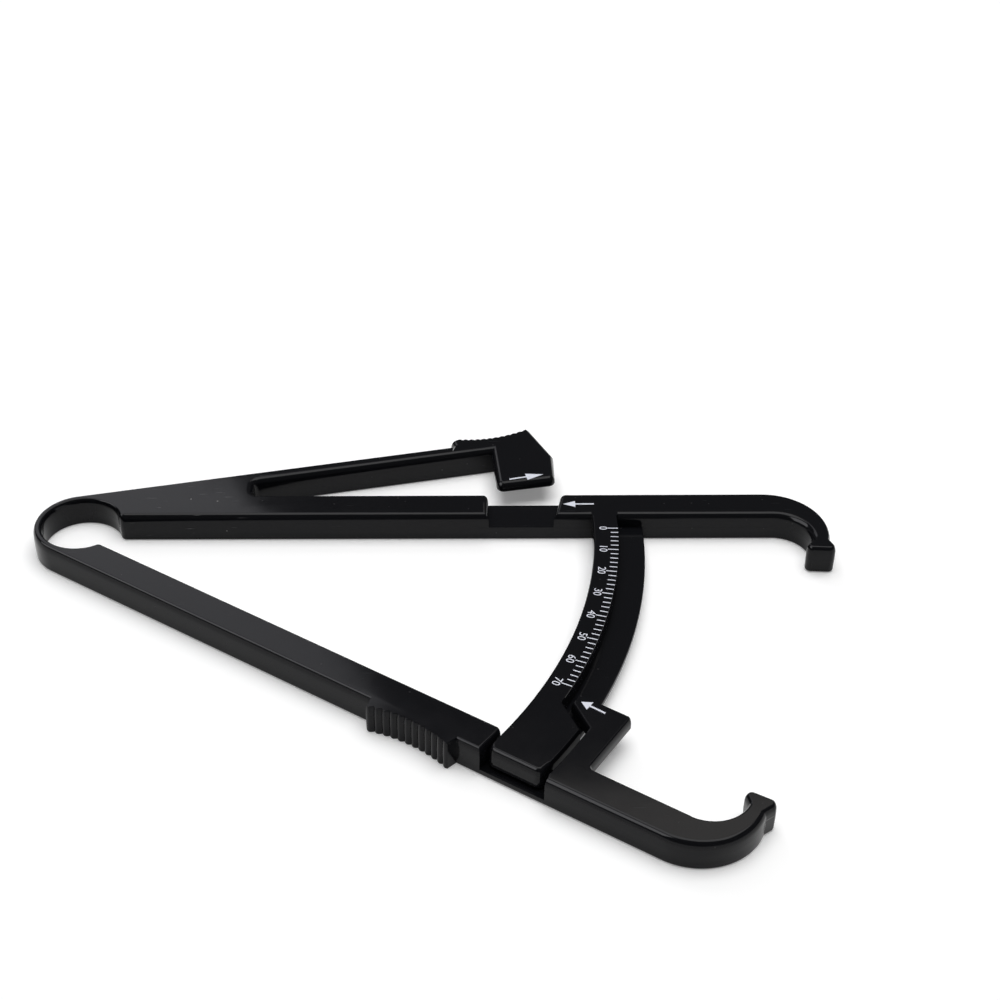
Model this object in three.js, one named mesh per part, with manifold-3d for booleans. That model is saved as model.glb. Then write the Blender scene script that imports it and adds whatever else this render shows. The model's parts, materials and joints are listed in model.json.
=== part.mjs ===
// A skinfold caliper moulded as one springy piece of glossy black plastic: a bow, two arms
// that end in jaws, a thumb lever on the fixed arm and a curved scale that the moving arm
// straddles. Millimetres. X runs along the fixed arm and Z is up from the table. Pieces are
// drawn round the centre of the bow, and the finished part is moved onto its own middle.
import * as THREE from 'three';
import { mergeVertices } from 'three/addons/utils/BufferGeometryUtils.js';
import Module from 'manifold-3d';

const wasm = await Module();
wasm.setup();

// Sizes that the whole moulding shares
const thickness = 6.6;
const levelGap = 0.6;
const edgeRound = 0.5;
const thinEdgeRound = 0.25;
const seamGap = 0.3;
const overrun = 2;
const chordError = 0.02;
const halfShare = 0.5;
const edgeSteps = 2;
const midHeight = thickness * halfShare;
const upperBottom = midHeight + levelGap;

// The bow is a thin ring that joins the two arms, whose outer walls leave it as tangents
const bow = { inner: 8.5, wall: 1.6 };
const openAngle = 33.83;
const touchAngle = 27.17;
const footAngle = 3.44;
const outerWall = bow.inner + bow.wall;
const innerWall = 2.2;
const movingArmInset = 0.5;
const movingInnerWall = innerWall + movingArmInset;

// The scale is a band of an arc round the bow's centre, with a thinner guide outside it
const band = { inner: 108.4, width: 5.6, guide: 5.5, bottom: 2 };
const bandOuter = band.inner + band.width;
const guideOuter = bandOuter + band.guide;

// The end plate closes the scale, with a slanting shoulder that stops the pointer
const plate = { shoulder: 9.3, shoulderRise: 4.5, frontSet: 1.2, frontCorner: 1 };
const plateFront = outerWall - plate.frontSet;

// The moving arm is crossed by a channel that the scale slides through
const channel = { innerGap: 0.5, outerGap: 2.4, corner: 1 };
const channelInner = band.inner - channel.innerGap;
const channelOuter = guideOuter + channel.outerGap;
const webTop = band.bottom - levelGap;

// The pointer stands over the guide, its bevel parallel to the shoulder of the end plate
const pointer = { bandGap: 1.5, tail: 3.9, right: 4.9, stopGap: 1.4 };
const pointerInner = bandOuter + pointer.bandGap;
const pointerRear = -plate.shoulder - pointer.tail;
const pointerRight = channelOuter + pointer.right;

// Both arms end in a hooked jaw with a flared foot, whose face lies flat on the other's
const jaw = { overhang: 50.4, outerRadius: 13, wall: 4, straight: 0.7 };
const foot = { cornerOver: 0.5, straight: 0.3, flare: 1.6, outerFlare: 0.5, outerRim: 1.8 };
const footCorner = edgeRound + foot.cornerOver;
const jawReach = band.inner + jaw.overhang;
const neckInner = jawReach - jaw.wall;

// The notch in the fixed arm lets the head of the lever drop in front of the arrow
const notch = { beforeBand: 22, width: 13.9, slant: 1.5, leftCorner: 1.1, rightCorner: 0.8, margin: 2.4 };
const notchLeft = band.inner - notch.beforeBand;
const notchRight = notchLeft + notch.width;
const bridgeStart = notchLeft - notch.margin;
const bridgeEnd = notchRight + notch.slant + notch.margin;

// The thumb lever branches off the fixed arm behind a slot
const slot = { start: 35.2, corner: 1.5 };
const blade = { angle: 12.5, thickness: 3.3, beyondSlot: 1.3, rootGap: 0.6 };
const bladeRoot = slot.start + blade.beyondSlot;
const head = { notchGap: 2, lean: 1.4, width: 12.8, frontGap: 3.7, frontSlope: 2.5, corner: 1.6 };
const headLeft = notchLeft + head.notchGap;
const headRight = headLeft + head.width;
const headRear = headLeft - head.lean;
const pad = { beforeNotch: 7.7, ribSet: 0.9, lift: 2.7, chamfer: 0.8, hollowSet: 3.5, rise: 4.1, ribDepth: 0.22 };
const tip = { slantWidth: 5, slantRise: 10.3, lift: 2.8, ribSet: 0.7 };
const padStart = notchLeft - pad.beforeNotch;
const tipX = headRight - tip.slantWidth;

// The finger grip is a hollowed row of ribs on the outer wall of the moving arm
const grip = { beforeChannel: 25.4, length: 19.7, ribSet: 0.5, low: 0.6, rise: 1.4, ribDepth: 0.35 };
const gripStart = channelInner - grip.beforeChannel;
const gripEnd = gripStart + grip.length;
const ribbing = { count: 12, steps: 5 };

const turn = 360;
const rightAngle = 90;
const radians = (degrees) => THREE.MathUtils.degToRad(degrees);
const leverTilt = radians(blade.angle);

// Points on an arc, close enough together that no chord strays by more than chordError
function arc(centreX, centreY, radius, fromDegrees, toDegrees) {
  const step = 2 * Math.acos(1 - chordError / radius);
  const sweep = radians(toDegrees - fromDegrees);
  const count = Math.max(2, Math.ceil(Math.abs(sweep) / step));
  const points = [];
  for (let i = 0; i <= count; i += 1) {
    const angle = radians(fromDegrees) + (sweep * i) / count;
    points.push([centreX + radius * Math.cos(angle), centreY + radius * Math.sin(angle)]);
  }
  return points;
}

// A corner between two straight walls, rounded from the wall before it to the wall after
function rounded(before, corner, after, radius) {
  const towards = (from, to) => new THREE.Vector2(to[0] - from[0], to[1] - from[1]).normalize();
  const inward = towards(corner, before);
  const outward = towards(corner, after);
  const halfAngle = Math.acos(THREE.MathUtils.clamp(inward.dot(outward), -1, 1)) * halfShare;
  const middle = inward.clone().add(outward).normalize();
  const reach = radius / Math.sin(halfAngle);
  const cut = radius / Math.tan(halfAngle);
  const centre = [corner[0] + middle.x * reach, corner[1] + middle.y * reach];
  const first = [corner[0] + inward.x * cut, corner[1] + inward.y * cut];
  const last = [corner[0] + outward.x * cut, corner[1] + outward.y * cut];
  const degrees = (point) => THREE.MathUtils.radToDeg(Math.atan2(point[1] - centre[1], point[0] - centre[0]));
  const from = degrees(first);
  let to = degrees(last);
  if (to - from > turn * halfShare) to -= turn;
  if (from - to > turn * halfShare) to += turn;
  return arc(centre[0], centre[1], radius, from, to);
}

// One coordinate of a point on a circle round the bow's centre from the other, and its angle
const beside = (radius, other) => Math.sqrt(radius * radius - other * other);
const angleAt = (radius, y) => THREE.MathUtils.radToDeg(Math.atan2(y, beside(radius, y)));

// The blade's rear line touches the bow, and a depth measured into the blade shifts it
function onBlade(x, depth) {
  return (outerWall - depth + x * Math.sin(leverTilt)) / Math.cos(leverTilt);
}

// Points given in the moving arm's own outline, brought to where that arm rests
function fromMovingArm([x, y]) {
  const turned = new THREE.Vector2(x, -y).rotateAround(new THREE.Vector2(0, 0), -radians(openAngle));
  return [turned.x, turned.y];
}

const mirrored = (outline) => outline.map(([x, y]) => [x, -y]);

// A closed solid between two heights, with its rims rounded when an edge size is given
function slab(outline, bottom, top, edge = 0) {
  const shape = new THREE.Shape(outline.map(([x, y]) => new THREE.Vector2(x, y)));
  const geometry = new THREE.ExtrudeGeometry(shape, {
    depth: top - bottom - 2 * edge,
    bevelEnabled: edge > 0,
    bevelThickness: edge,
    bevelSize: edge,
    bevelOffset: -edge,
    bevelSegments: edgeSteps,
  });
  geometry.translate(0, 0, bottom + edge);
  geometry.deleteAttribute('normal');
  geometry.deleteAttribute('uv');
  const merged = mergeVertices(geometry);
  return new wasm.Manifold(
    new wasm.Mesh({
      numProp: 3,
      vertProperties: new Float32Array(merged.attributes.position.array),
      triVerts: new Uint32Array(merged.index.array),
    }),
  );
}

// A region as tall as the moulding and a little more, for cutting the moulding into pieces
const region = (outline) => slab(outline, -overrun, thickness + overrun);

const rectangle = (left, low, right, high) => [
  [left, low],
  [right, low],
  [right, high],
  [left, high],
];

function mesh(name, solid) {
  const result = solid.getMesh();
  const geometry = new THREE.BufferGeometry();
  geometry.setAttribute('position', new THREE.BufferAttribute(new Float32Array(result.vertProperties), 3));
  geometry.setIndex(new THREE.BufferAttribute(new Uint32Array(result.triVerts), 1));
  geometry.computeVertexNormals();
  const piece = new THREE.Mesh(geometry, glossyBlack());
  piece.name = name;
  return piece;
}

function glossyBlack() {
  return new THREE.MeshStandardMaterial({ color: '#141416', roughness: 0.3, metalness: 0 });
}

// A row of small round ribs along a crest line, each one bulging out of it
function ribs(from, to, depth, crest) {
  const points = [];
  const pitch = (to - from) / ribbing.count;
  const stepCount = ribbing.count * ribbing.steps;
  for (let i = 0; i <= stepCount; i += 1) {
    const turns = i / ribbing.steps;
    const x = from + pitch * turns;
    points.push([x, crest(x) + depth * Math.abs(Math.sin(Math.PI * turns))]);
  }
  return points;
}

// The face of a foot lies along the line from the bow's centre on which the two feet meet
const face = (x, tilt) => [x, -x * Math.tan(radians(tilt))];

// Where the neck above a foot ends, for a foot whose face lies at a tilt
function neckAt(tilt) {
  return face(neckInner - foot.flare, tilt)[1] + footCorner + foot.straight + foot.flare;
}

const fixedNeck = neckAt(footAngle);
const movingFootAngle = openAngle - touchAngle - footAngle;
const movingNeck = neckAt(movingFootAngle);

// The hook of a jaw from the inner wall of its arm round the foot to the outer wall
function jawOutline(inner, tilt) {
  const neckLow = neckAt(tilt);
  const innerRadius = inner - neckLow - jaw.straight;
  const outerX = jawReach - jaw.outerRadius;
  const outerY = outerWall - jaw.outerRadius;
  const neckDrop = neckLow - outerY;
  const innerFace = face(neckInner - foot.flare, tilt);
  const outerFace = face(jawReach + foot.outerFlare, tilt);
  const innerShoulder = [innerFace[0], neckLow - foot.flare];
  const outerShoulder = [outerFace[0], outerFace[1] + foot.outerRim];
  return [
    ...arc(neckInner - innerRadius, inner - innerRadius, innerRadius, rightAngle, 0),
    [neckInner, neckLow],
    innerShoulder,
    ...rounded(innerShoulder, innerFace, outerFace, footCorner),
    ...rounded(innerFace, outerFace, outerShoulder, footCorner),
    outerShoulder,
    ...arc(outerX, outerY, jaw.outerRadius, angleAt(jaw.outerRadius, neckDrop), rightAngle),
  ];
}

// The wall of the bow's hole, from a little beyond the seam to the arm's inner wall
const holeWall = (inner) => arc(0, 0, bow.inner, rightAngle + blade.angle, angleAt(bow.inner, inner));

// The bow, with its ends run on into both arms before the seams cut them off
function bowRing() {
  const runOn = THREE.MathUtils.radToDeg(Math.asin(overrun / bow.inner));
  const lowerSeam = rightAngle + turn * halfShare - openAngle;
  return slab(
    [
      [overrun, onBlade(overrun, 0)],
      ...arc(0, 0, outerWall, rightAngle + blade.angle, lowerSeam),
      fromMovingArm([overrun, outerWall]),
      ...arc(0, 0, bow.inner, lowerSeam + runOn, rightAngle - runOn),
    ],
    0,
    thickness,
    edgeRound,
  );
}

// The fixed arm widens towards the bow, where the lever grows out of it behind a slot
function fixedArm() {
  const cut = bladeRoot + overrun;
  const slotFront = [slot.start, outerWall];
  const slotRear = [slot.start, onBlade(slot.start, blade.thickness)];
  const bladeFront = [cut, onBlade(cut, blade.thickness)];
  return slab(
    [
      ...holeWall(innerWall),
      ...jawOutline(innerWall, footAngle),
      ...rounded([jawReach, outerWall], slotFront, slotRear, slot.corner),
      ...rounded(slotFront, slotRear, bladeFront, slot.corner),
      bladeFront,
      [cut, onBlade(cut, 0)],
      [-outerWall * Math.sin(leverTilt), outerWall * Math.cos(leverTilt)],
    ],
    0,
    thickness,
    edgeRound,
  );
}

// What is taken out of the upper half, with the corners beside it rounded at the rear wall
function notchCut() {
  const leftX = notchLeft - notch.leftCorner;
  const rightX = notchRight + notch.slant + notch.rightCorner;
  return slab(
    [
      [notchLeft, innerWall - overrun],
      [notchRight, innerWall - overrun],
      [notchRight, innerWall],
      ...arc(rightX, outerWall - notch.rightCorner, notch.rightCorner, turn * halfShare, rightAngle),
      [rightX, outerWall + overrun],
      [leftX, outerWall + overrun],
      ...arc(leftX, outerWall - notch.leftCorner, notch.leftCorner, rightAngle, 0),
    ],
    midHeight,
    thickness + overrun,
  );
}

// A strip of the quadrant between two radii, from inside the arm to inside the end plate
function quadrantStrip(inner, outer, bottom, top, edge) {
  const start = (radius) => angleAt(radius, innerWall + overrun);
  const end = (radius) => -openAngle + angleAt(radius, plate.shoulder - overrun);
  return slab(
    [...arc(0, 0, inner, start(inner), end(inner)), ...arc(0, 0, outer, end(outer), start(outer))],
    bottom,
    top,
    edge,
  );
}

// The two ends of the end plate's shoulder, in the moving arm's outline
const shoulderStart = [beside(bandOuter, plate.shoulder), -plate.shoulder];
const shoulderEndY = plate.shoulderRise - plate.shoulder;
const shoulderEnd = [beside(guideOuter, shoulderEndY), shoulderEndY];

function endPlate() {
  const rear = -plate.shoulder - overrun;
  const nearFront = plateFront - plate.frontCorner - plate.frontCorner;
  const onCircle = (radius, y) => [beside(radius, y), y];
  const along = (radius, from, to) => arc(0, 0, radius, angleAt(radius, from), angleAt(radius, to));
  const frontInner = onCircle(band.inner, plateFront);
  const frontOuter = onCircle(guideOuter, plateFront);
  const outline = [
    ...along(band.inner, rear, nearFront),
    ...rounded(onCircle(band.inner, nearFront), frontInner, frontOuter, plate.frontCorner),
    ...rounded(frontInner, frontOuter, onCircle(guideOuter, nearFront), plate.frontCorner),
    ...along(guideOuter, nearFront, shoulderEndY),
    shoulderStart,
    ...along(bandOuter, -plate.shoulder - seamGap, rear),
  ];
  return slab(outline.map(fromMovingArm), band.bottom, thickness, edgeRound);
}

// The line where the end plate meets the band and the guide, shifted along the arc
function plateSeam(shift) {
  return [
    [band.inner - overrun, shoulderStart[1] + shift],
    [shoulderStart[0], shoulderStart[1] + shift],
    [shoulderEnd[0], shoulderEnd[1] + shift],
    [shoulderEnd[0] + overrun, shoulderEnd[1] + shift],
  ];
}

// The quadrant that carries the scale, with its roots run on into the fixed arm
function quadrant() {
  return quadrantStrip(band.inner, bandOuter, band.bottom, thickness, edgeRound)
    .add(quadrantStrip(band.inner, guideOuter, band.bottom, midHeight, thinEdgeRound))
    .add(endPlate());
}

// Past this line the region below the fixed arm belongs to its jaw, before it to the quadrant
const foldLine = (channelOuter + jawReach - jaw.outerRadius) * halfShare;

function fixedPieces() {
  const curve = quadrant();
  const moulding = fixedArm().add(curve).subtract(notchCut());
  const reach = jawReach + jaw.outerRadius;
  const rear = onBlade(bladeRoot, 0) + overrun;
  const bowSide = outerWall + bow.inner;
  const bowRegion = region([
    [0, 0],
    [0, bowSide],
    [-bowSide, bowSide],
    [-bowSide, -bowSide],
    fromMovingArm([0, bowSide]),
  ]);
  const armEnd = bladeRoot - blade.rootGap * halfShare;
  const armRegion = region([
    [0, 0],
    [bridgeStart, 0],
    [bridgeStart, outerWall + overrun],
    [armEnd, outerWall + overrun],
    [armEnd, rear],
    [0, rear],
  ]);
  const bridgeRegion = region(rectangle(bridgeStart, 0, bridgeEnd, outerWall + overrun));
  const jawArmRegion = region([
    [bridgeEnd, innerWall],
    [foldLine, innerWall],
    [foldLine, fixedNeck],
    [reach, fixedNeck],
    [reach, outerWall + overrun],
    [bridgeEnd, outerWall + overrun],
  ]);
  const footRegion = region(rectangle(foldLine, -reach, reach, fixedNeck));
  const quadrantOutline = [
    [bridgeEnd, innerWall],
    ...plateSeam(-seamGap).map(fromMovingArm),
    [foldLine, innerWall],
  ];
  const plateOutline = [
    ...plateSeam(0),
    [guideOuter + overrun, plateFront + overrun],
    [band.inner - overrun, plateFront + overrun],
  ];
  return [
    mesh('bow_spring', bowRing().intersect(bowRegion)),
    mesh('upper_arm', moulding.intersect(armRegion)),
    mesh('notch_bridge', moulding.intersect(bridgeRegion)),
    mesh('upper_jaw_arm', moulding.intersect(jawArmRegion)),
    mesh('upper_jaw_foot', moulding.intersect(footRegion)),
    mesh('scale_band', curve.intersect(slab(quadrantOutline, midHeight, thickness + overrun))),
    mesh('guide_flange', curve.intersect(slab(quadrantOutline, 0, midHeight))),
    mesh('end_stop_plate', curve.intersect(region(plateOutline.map(fromMovingArm)))),
  ];
}

// The thumb pad is full height behind the blade's front line and hollowed for the thumb
const tipY = onBlade(tipX, 0) + tip.lift;
const slantStart = tipY - tip.slantRise;

function thumbPad() {
  const low = onBlade(padStart, 0) + pad.lift;
  const ribStart = padStart + pad.ribSet;
  const ribEnd = tipX - tip.ribSet;
  const hollowStart = padStart + pad.hollowSet;
  const crest = (x) => low + pad.rise * (Math.max(0, x - hollowStart) / (ribEnd - hollowStart)) ** 2;
  const lowX = tipX + (tipY - onBlade(tipX, blade.thickness)) * (tip.slantWidth / tip.slantRise);
  return slab(
    [
      [padStart, onBlade(padStart, blade.thickness)],
      [lowX, onBlade(lowX, blade.thickness)],
      [tipX, tipY],
      ...ribs(ribStart, ribEnd, pad.ribDepth, crest).reverse(),
      [padStart - pad.chamfer * halfShare, low - pad.chamfer],
      [padStart, onBlade(padStart, blade.thickness * halfShare)],
    ],
    0,
    thickness,
  );
}

// The head reaches forward over the notch and is only as thick as the upper half
function pressHead() {
  const front = outerWall + head.frontGap;
  const frontLeft = [headLeft, front];
  const frontRight = [headRight, front + head.frontSlope];
  const rearLeft = [headRear, onBlade(headRear, 0)];
  const slantEnd = [headRight, slantStart];
  return slab(
    [
      ...rounded(rearLeft, frontLeft, frontRight, head.corner),
      ...rounded(frontLeft, frontRight, slantEnd, head.corner),
      slantEnd,
      [tipX, tipY],
      rearLeft,
    ],
    upperBottom,
    thickness,
    edgeRound,
  );
}

function bladeStrip() {
  const start = bladeRoot - overrun;
  const end = padStart + overrun;
  return slab(
    [
      [start, onBlade(start, blade.thickness)],
      [end, onBlade(end, blade.thickness)],
      [end, onBlade(end, 0)],
      [start, onBlade(start, 0)],
    ],
    0,
    thickness,
    edgeRound,
  );
}

function leverPieces() {
  const lever = bladeStrip().add(thumbPad()).add(pressHead());
  const start = bladeRoot + blade.rootGap * halfShare;
  const rear = tipY + pad.rise;
  const right = headRight + overrun;
  const bladeRear = onBlade(padStart, 0);
  const seam = onBlade(headRear, blade.thickness) - seamGap;
  const padRegion = region([
    [padStart, 0],
    [headRear, 0],
    [headRear, seam],
    [right, seam],
    [right, rear],
    [padStart - overrun, rear],
    [padStart - overrun, bladeRear],
    [padStart, bladeRear],
  ]);
  return [
    mesh('press_blade', lever.intersect(region(rectangle(start, 0, padStart, bladeRear)))),
    mesh('thumb_ribs', lever.intersect(padRegion)),
    mesh('press_head', lever.intersect(region(rectangle(headRear, 0, right, seam)))),
  ];
}

// The moving arm has the fixed arm's outline without the lever, crossed by the channel
function movingArmBody() {
  const outline = [
    ...holeWall(movingInnerWall),
    ...jawOutline(movingInnerWall, movingFootAngle),
    ...arc(0, 0, outerWall, rightAngle, rightAngle + blade.angle),
  ];
  return slab(mirrored(outline), 0, thickness, edgeRound);
}

function channelCut() {
  const low = movingInnerWall - seamGap;
  const high = outerWall + overrun;
  const along = (radius, from, to) => arc(0, 0, radius, angleAt(radius, from), angleAt(radius, to));
  const nearX = beside(channelInner, movingInnerWall) - channel.corner;
  const outline = [
    ...along(channelOuter, low, high),
    ...along(channelInner, high, movingInnerWall + channel.corner),
    [nearX, movingInnerWall],
    [nearX, low],
  ];
  return slab(mirrored(outline), webTop, thickness + overrun);
}

function fingerGrip() {
  const ribStart = gripStart + grip.ribSet;
  const ribEnd = gripEnd - grip.ribSet;
  const middle = (ribStart + ribEnd) * halfShare;
  const crest = (x) => outerWall + grip.low + grip.rise * ((x - middle) / (ribEnd - middle)) ** 2;
  return slab(
    mirrored([
      [gripStart, outerWall - overrun],
      [gripEnd, outerWall - overrun],
      [gripEnd, outerWall],
      ...ribs(ribStart, ribEnd, grip.ribDepth, crest).reverse(),
      [gripStart, outerWall],
    ]),
    0,
    thickness,
  );
}

// Where a line through a point crosses a circle round the bow's centre
function crossing([x, y], direction, radius) {
  const ahead = x * direction.x + y * direction.y;
  const aside = x * direction.y - y * direction.x;
  const travel = beside(radius, aside) - ahead;
  return [x + direction.x * travel, y + direction.y * travel];
}

function pointerPlate() {
  const wallY = movingInnerWall + overrun;
  const direction = new THREE.Vector2(shoulderEnd[0] - shoulderStart[0], shoulderEnd[1] - shoulderStart[1]).normalize();
  const bevel = [
    shoulderStart[0] + direction.y * pointer.stopGap,
    shoulderStart[1] - direction.x * pointer.stopGap,
  ];
  const bevelStart = crossing(bevel, direction, pointerInner);
  const bevelEnd = crossing(bevel, direction, channelOuter);
  return slab(
    mirrored([
      ...arc(0, 0, pointerInner, angleAt(pointerInner, bevelStart[1]), angleAt(pointerInner, pointerRear)),
      [pointerRight, pointerRear],
      [pointerRight, wallY],
      ...arc(0, 0, channelOuter, angleAt(channelOuter, wallY), angleAt(channelOuter, bevelEnd[1])),
    ]),
    upperBottom,
    thickness,
    edgeRound,
  );
}

function movingPieces() {
  const moulding = movingArmBody().add(fingerGrip()).subtract(channelCut()).add(pointerPlate());
  const reach = jawReach + jaw.outerRadius;
  const high = outerWall + overrun;
  const up = (radius) => arc(0, 0, radius, 0, angleAt(radius, high));
  const webInner = channelInner + seamGap;
  const webOuter = channelOuter - seamGap;
  const armRegion = region(mirrored([[seamGap, 0], ...up(channelInner), [seamGap, high]]));
  const grown = outerWall + seamGap;
  const gripRegion = region(mirrored(rectangle(gripStart - overrun, grown, gripEnd + overrun, reach)));
  const webRegion = region(mirrored([...up(webOuter), ...up(webInner).reverse()]));
  const bodyRegion = region(mirrored(rectangle(0, -reach, reach, outerWall)));
  const jawArmRegion = region(mirrored([
    ...arc(0, 0, channelOuter, angleAt(channelOuter, high), angleAt(channelOuter, movingInnerWall)),
    [foldLine, movingInnerWall],
    [foldLine, movingNeck + seamGap],
    [reach, movingNeck + seamGap],
    [reach, high],
  ]));
  const footRegion = region(mirrored(rectangle(foldLine, -reach, reach, movingNeck)));
  const pointerRegion = region(mirrored(rectangle(band.inner, -reach, foldLine, movingInnerWall - seamGap)));
  return [
    mesh('lower_arm', moulding.intersect(armRegion).intersect(bodyRegion)),
    mesh('finger_grip', moulding.intersect(gripRegion)),
    mesh('channel_web', moulding.intersect(webRegion)),
    mesh('pointer_plate', moulding.intersect(pointerRegion)),
    mesh('lower_jaw_arm', moulding.intersect(jawArmRegion)),
    mesh('lower_jaw_foot', moulding.intersect(footRegion)),
  ];
}

const pressLever = new THREE.Group();
pressLever.name = 'press_lever';
pressLever.add(...leverPieces());

const movingArm = new THREE.Group();
movingArm.name = 'moving_arm';
movingArm.rotation.z = -radians(openAngle);
movingArm.add(...movingPieces());

const moulding = new THREE.Group();
moulding.name = 'moulding';
moulding.add(...fixedPieces(), pressLever, movingArm);

// The finished part has the middle of its footprint on the table as its origin
const footprint = new THREE.Box3().setFromObject(moulding, true).getCenter(new THREE.Vector3());
moulding.position.set(-footprint.x, -footprint.y, 0);

const caliper = new THREE.Group();
caliper.name = 'skinfold_caliper';
caliper.add(moulding);

export default caliper;
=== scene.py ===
# A glossy black skinfold caliper lying open on a pale table.
# Shapes are drawn in millimetres round the centre of the bow, as seen from above, and are
# moved into the frame at the end. The moving arm is drawn lying along X and then turned.
import json
import math

import bpy
import numpy as np
from mathutils import Matrix


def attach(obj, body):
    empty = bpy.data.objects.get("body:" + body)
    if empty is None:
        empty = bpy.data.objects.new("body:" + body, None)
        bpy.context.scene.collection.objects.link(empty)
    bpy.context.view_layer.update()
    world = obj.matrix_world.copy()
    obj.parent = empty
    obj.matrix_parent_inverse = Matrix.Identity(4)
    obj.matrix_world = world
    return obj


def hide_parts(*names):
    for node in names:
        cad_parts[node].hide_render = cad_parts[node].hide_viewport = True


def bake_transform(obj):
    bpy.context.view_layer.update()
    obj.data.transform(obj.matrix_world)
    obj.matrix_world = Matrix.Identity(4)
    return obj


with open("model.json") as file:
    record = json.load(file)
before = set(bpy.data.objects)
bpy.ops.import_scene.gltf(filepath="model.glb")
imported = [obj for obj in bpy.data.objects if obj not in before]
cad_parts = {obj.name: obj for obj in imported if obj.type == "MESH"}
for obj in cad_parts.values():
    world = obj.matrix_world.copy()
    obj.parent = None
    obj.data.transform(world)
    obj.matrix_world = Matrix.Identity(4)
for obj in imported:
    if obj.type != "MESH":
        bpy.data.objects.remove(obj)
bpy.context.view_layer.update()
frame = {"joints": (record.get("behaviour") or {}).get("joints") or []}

mm = 0.001
squeeze = next(joint for joint in frame["joints"] if joint["name"] == "arm_squeeze")
press = next(joint for joint in frame["joints"] if joint["name"] == "press_flex")
bowCentre = np.array(squeeze["pos_m"])[:2] / mm
pressRoot = np.array(press["pos_m"])[:2] / mm - bowCentre

# sizes that several pieces share; outside, notch, hole and band are the shares of the upper
# rim's rounding that those walls get
body = {"height": 6.6, "parting": 3.3, "round": 1.2, "lowRound": 0.5, "steep": 1.5, "draft": 0.022,
        "outside": 0.54, "notch": 0.75, "hole": 0.42, "band": 0.28, "holeCorner": 1.35, "cornerGap": 14}
bow = {"inner": 8.15, "outer": 10.1, "open": 33.83, "stations": 150, "clear": 0.05}
arm = {"inner": 2.2, "movingInner": 2.7, "outer": 10.1, "footTilt": 3.44, "movingFootTilt": 3.22}
# how finely curves are cut, the shortest edge that stays, the sine of the slightest corner
# and the angle past which an edge is drawn sharp
fine = {"apart": 0.4, "perRadian": 6, "least": 3, "rimSteps": 8, "perRib": 6, "shortest": 1e-3,
        "corner": 0.3, "crease": 32}


def arc(cx, cy, radius, start, end):
    # points on a circle from one angle to the other, at even steps
    sweep = math.radians(end - start)
    wanted = [abs(sweep) * radius / fine["apart"], abs(sweep) * fine["perRadian"], fine["least"]]
    a = math.radians(start) + np.linspace(0, sweep, int(max(wanted)) + 1)
    return np.stack([cx + radius * np.cos(a), cy + radius * np.sin(a)], 1)


def angleAt(radius, y):
    # where on a circle a line along X meets it, in degrees: the arc sine of y over the radius
    return math.degrees(math.asin(y / radius))


def beside(radius, other):
    # the second coordinate of a point on a circle: the root of radius squared less other squared
    return math.sqrt(radius * radius - other * other)


def cross(radius, y):
    # where a circle round the bow's centre crosses a line along X
    return [beside(radius, y), y]


def rounded(before, corner, after, radius):
    # the arc that touches both walls of a corner, from the wall before it to the wall after
    corner = np.array(corner, float)
    a = np.array(before) - corner
    b = np.array(after) - corner
    a, b = a / np.linalg.norm(a), b / np.linalg.norm(b)
    half = math.acos(np.clip(a @ b, -1, 1)) / 2
    middle = (a + b) / np.linalg.norm(a + b)
    centre = corner + middle * radius / math.sin(half)
    ends = [corner + v * radius / math.tan(half) - centre for v in (a, b)]
    start, end = [math.degrees(math.atan2(v[1], v[0])) for v in ends]
    end += 360 * round((start - end) / 360)
    return arc(centre[0], centre[1], radius, start, end)


def trace(*parts):
    # joins runs of points into one loop; a run carries the shares of the rounding that its
    # upper and lower rims get, and a share of 0 is a flush cut where a neighbour goes on
    points, shares = [], []
    for run, topShare, lowShare in parts:
        run = np.array(run, float).reshape(-1, 2)
        points.append(run)
        shares.append(np.tile([topShare, lowShare], (len(run), 1)))
    points, shares = np.concatenate(points), np.concatenate(shares).astype(float)
    keep = np.linalg.norm(np.roll(points, -1, 0) - points, axis=1) > fine["shortest"]
    return points[keep], shares[keep]


def turned(loop):
    # the moving arm's own drawing, mirrored and turned to where that arm rests
    points, shares = loop
    a = math.radians(-bow["open"])
    x, y = points[:, 0], -points[:, 1]
    return np.stack([x * math.cos(a) - y * math.sin(a), x * math.sin(a) + y * math.cos(a)], 1), shares


def onArm(x, y):
    # a point of the moving arm's own drawing, seen where that arm rests
    return turned((np.array([[x, y]]), None))[0][0]


def inset(loop, distances):
    # every corner moves to where its two walls meet after each has moved inward by its own
    # distance: n1.d = -d1 and n2.d = -d2, and for nearly straight walls their mean
    step = np.roll(loop, -1, 0) - loop
    normal = np.stack([step[:, 1], -step[:, 0]], 1) / np.linalg.norm(step, axis=1)[:, None]
    n1, n2 = np.roll(normal, 1, 0), normal
    d1, d2 = np.roll(distances, 1), distances
    det = n1[:, 0] * n2[:, 1] - n1[:, 1] * n2[:, 0]
    straight = np.abs(det) < fine["corner"]
    safe = np.where(straight, 1, det)
    meetX = (-d1 * n2[:, 1] + d2 * n1[:, 1]) / safe
    meetY = (-d2 * n1[:, 0] + d1 * n2[:, 0]) / safe
    mean = n1 + n2
    mean /= np.linalg.norm(mean, axis=1)[:, None]
    along = -0.5 * (d1 + d2) / (mean * n1).sum(1)
    return loop + np.where(straight[:, None], mean * along[:, None], np.stack([meetX, meetY], 1))


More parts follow.
